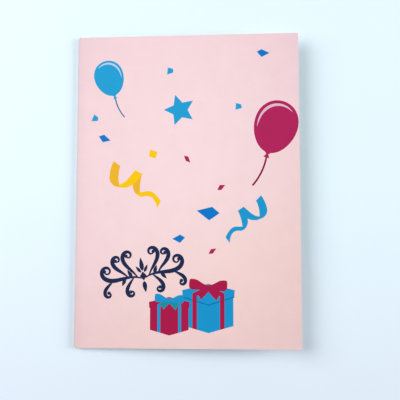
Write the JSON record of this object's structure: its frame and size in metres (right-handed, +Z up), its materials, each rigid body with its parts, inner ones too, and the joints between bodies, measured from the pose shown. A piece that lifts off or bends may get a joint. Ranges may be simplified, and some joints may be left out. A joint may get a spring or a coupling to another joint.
{
  "type": "pop up card",
  "caption": "Folded greeting card with a party print on its front leaf and a paper box of balloons lying flat inside, which stands up as the card is opened.",
  "frame": {"origin": "centre of the closed card's footprint, on the surface that its back leaf lies on", "axes": "+X from the fold to the free edge, +Y up the printed face along the fold, +Z up off the surface"},
  "size_m": [0.127, 0.1778, 0.0103],
  "materials": {
    "cover_card": "matte coated card",
    "box_paper": "matte paper",
    "balloon_paper_pink": "matte paper",
    "balloon_paper_blue": "matte paper",
    "balloon_paper_yellow": "matte paper"
  },
  "bodies": {
    "root": {"folded_card": "cover_card", "pop_up_box": "box_paper", "balloon_back": "balloon_paper_pink", "balloon_front": "balloon_paper_blue", "balloon_left": "balloon_paper_yellow", "balloon_right": "balloon_paper_blue"}
  },
  "joints": []
}
